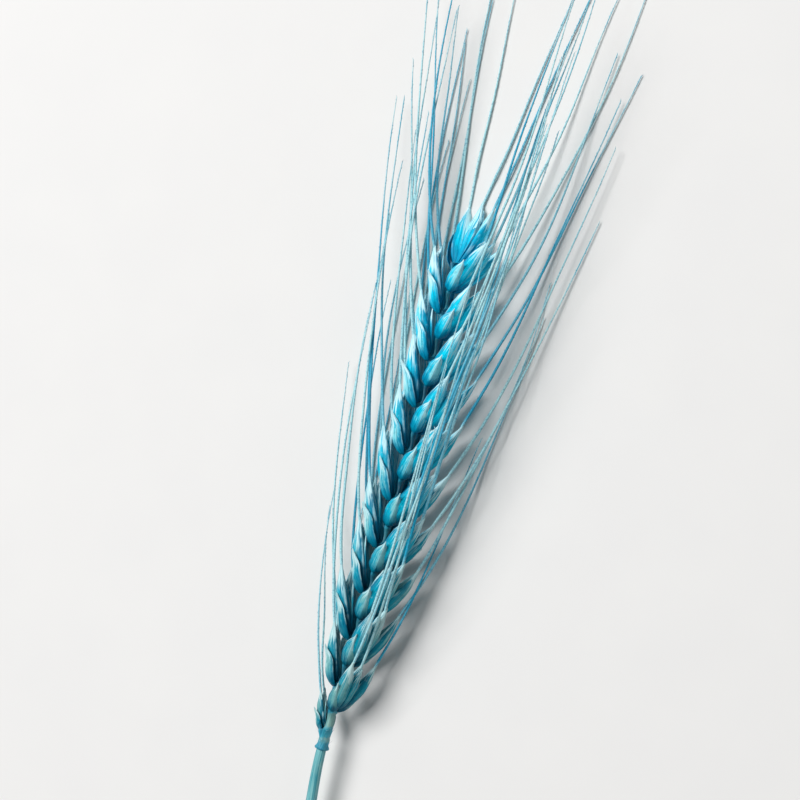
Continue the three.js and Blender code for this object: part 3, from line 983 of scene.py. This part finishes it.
tilted = bristle.add(
    "FunctionNodeEulerToRotation", Euler=bristle.place_in(bristle.size("Barb_tilt"), 0.0, 0.0)
)
turned = bristle.add(
    "FunctionNodeRotateRotation",
    {"rotation_space": "LOCAL"},
    Rotation=spots.outputs["Rotation"],
    Rotate_By=about.outputs[0],
)
leaned = bristle.add(
    "FunctionNodeRotateRotation",
    {"rotation_space": "LOCAL"},
    Rotation=turned.outputs[0],
    Rotate_By=tilted.outputs[0],
)
thorn = bristle.add(
    "GeometryNodeMeshCone",
    {"fill_type": "NONE"},
    Vertices=3,
    Radius_Bottom=bristle.size("Barb_girth"),
    Depth=1.0,
)
# A barb starts at the middle of its awn, so it is longer where the awn is thicker
long = girth * bristle.size("Barb_sunk") + bristle.size("Barb_length")
barbs = bristle.add(
    "GeometryNodeInstanceOnPoints",
    Points=spots.outputs[0],
    Instance=thorn.outputs[0],
    Rotation=leaned.outputs[0],
    Scale=bristle.place_in(long, long, long),
)
whole = bristle.add("GeometryNodeJoinGeometry")
bristle.feed(whole.inputs[0], shafts.outputs[0])
bristle.feed(whole.inputs[0], barbs.outputs[0])
bristle.end(whole.outputs[0], awn_finish)
bristle.grow(awns)
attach(awns, "root")
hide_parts("ear")


# The floor, the lights and the camera. The floor is plain, pale and matt, a broad soft light
# stands up and to the left, and a weak one to the right fills the shadows. The camera looks down
# on the lying ear from its right, along the line of sight that the photograph has to it.
FLOOR = 2  # metres from its middle to each side
floor_mesh = bpy.data.meshes.new("floor")
corners = [(-FLOOR, -FLOOR, 0), (FLOOR, -FLOOR, 0), (FLOOR, FLOOR, 0), (-FLOOR, FLOOR, 0)]
floor_mesh.from_pydata(corners, [], [(0, 1, 2, 3)])
floor = bpy.data.objects.new("floor", floor_mesh)
bpy.context.scene.collection.objects.link(floor)
floor_finish, bench, surface, place = new_finish("pale floor")
grain = bench.mottle(place, 2, 60.0)
floor_colour = shade_between(bench, grain, dye(222, 221, 220), dye(226, 225, 223))
bench.feed(surface.inputs["Base Color"], floor_colour)
surface.inputs["Roughness"].default_value = 0.9
surface.inputs["Specular IOR Level"].default_value = 0.1
floor_mesh.materials.append(floor_finish)

world = bpy.data.worlds.new("studio")
world.use_nodes = True
surroundings = world.node_tree.nodes["Background"]
surroundings.inputs["Color"].default_value = (0.96, 0.98, 1, 1)
surroundings.inputs["Strength"].default_value = 0.22
bpy.context.scene.world = world

LEAN_IN_PICTURE = 15.2  # degrees
CAMERA_TILT = 20  # degrees off the vertical, to the ear's right
CAMERA_DISTANCE = 0.404
CAMERA_LENS = 100
CAMERA_SENSOR = 36
AIM_HEIGHT = 5.5  # above the table, in mm
AIM_LEFT = 2.8
AIM_UP = 64.2  # from the collar towards the tip
tilt = math.radians(CAMERA_TILT)
lean = math.radians(LEAN_IN_PICTURE)
beside_ear = Vector((math.cos(tilt), 0, -math.sin(tilt)))
up_ear = Vector((0, 1, 0))
towards_camera = Vector((math.sin(tilt), 0, math.cos(tilt)))
picture_right = beside_ear * math.cos(lean) + up_ear * math.sin(lean)
picture_up = up_ear * math.cos(lean) - beside_ear * math.sin(lean)
aim = ear_foot + Vector((0, 0, AIM_HEIGHT)) - beside_ear * AIM_LEFT + up_ear * AIM_UP
aim = aim * MM


def lamp(name, right, up, out, power, size):
    """A square soft light, set out from the point that the camera looks at."""
    light = bpy.data.lights.new(name, "AREA")
    light.energy = power
    light.size = size
    stand = bpy.data.objects.new(name, light)
    bpy.context.scene.collection.objects.link(stand)
    stand.location = aim + picture_right * right + picture_up * up + towards_camera * out
    stand.rotation_euler = (aim - stand.location).to_track_quat("-Z", "Y").to_euler()


lamp("soft_box", -1.0, 0.7, 1.05, 31, 0.9)
lamp("fill", 1.0, -0.1, 1.0, 1.6, 1.2)

camera = bpy.data.cameras.new("camera")
camera.lens = CAMERA_LENS
camera.sensor_width = CAMERA_SENSOR
view = bpy.data.objects.new("camera", camera)
bpy.context.scene.collection.objects.link(view)
turned = Matrix((picture_right, picture_up, towards_camera)).transposed().to_4x4()
view.matrix_world = Matrix.Translation(aim + towards_camera * CAMERA_DISTANCE) @ turned
bpy.context.scene.camera = view
bpy.context.scene.view_settings.view_transform = "Standard"
